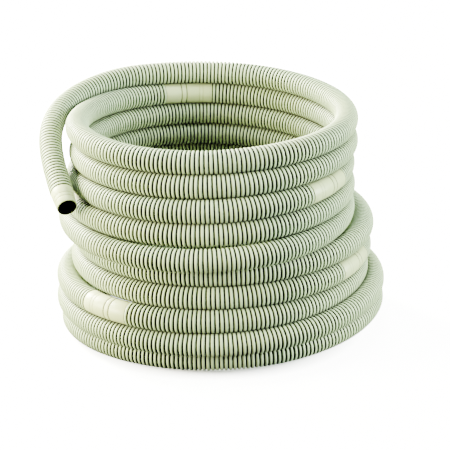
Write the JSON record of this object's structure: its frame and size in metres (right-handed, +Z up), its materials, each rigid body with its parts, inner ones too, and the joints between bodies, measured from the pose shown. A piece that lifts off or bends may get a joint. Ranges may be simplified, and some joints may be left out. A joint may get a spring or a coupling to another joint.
{
  "type": "caravan drain hose kit",
  "caption": "Coiled corrugated waste hose for a caravan, with plain cuffs along it where it can be cut and an open cuff at each end.",
  "frame": {"origin": "centre of the hank's footprint, on the surface it stands on", "axes": "+Z up through the middle of the coil, +X to the right as seen from the side where the free end hangs, +Y to the back, so that the free end points toward -Y"},
  "size_m": [0.4425, 0.4298, 0.2973],
  "materials": {
    "hose_plastic": "satin",
    "cuff_plastic": "satin"
  },
  "bodies": {
    "root": {"corrugated_run_1": "hose_plastic", "corrugated_run_2": "hose_plastic", "corrugated_run_3": "hose_plastic", "corrugated_run_4": "hose_plastic", "corrugated_run_5": "hose_plastic", "corrugated_run_6": "hose_plastic", "corrugated_run_7": "hose_plastic", "corrugated_run_8": "hose_plastic", "free_end_cuff": "cuff_plastic", "joint_cuff_1": "cuff_plastic", "joint_cuff_2": "cuff_plastic", "joint_cuff_3": "cuff_plastic", "joint_cuff_4": "cuff_plastic", "joint_cuff_5": "cuff_plastic", "joint_cuff_6": "cuff_plastic", "joint_cuff_7": "cuff_plastic", "floor_end_cuff": "cuff_plastic"}
  },
  "joints": []
}
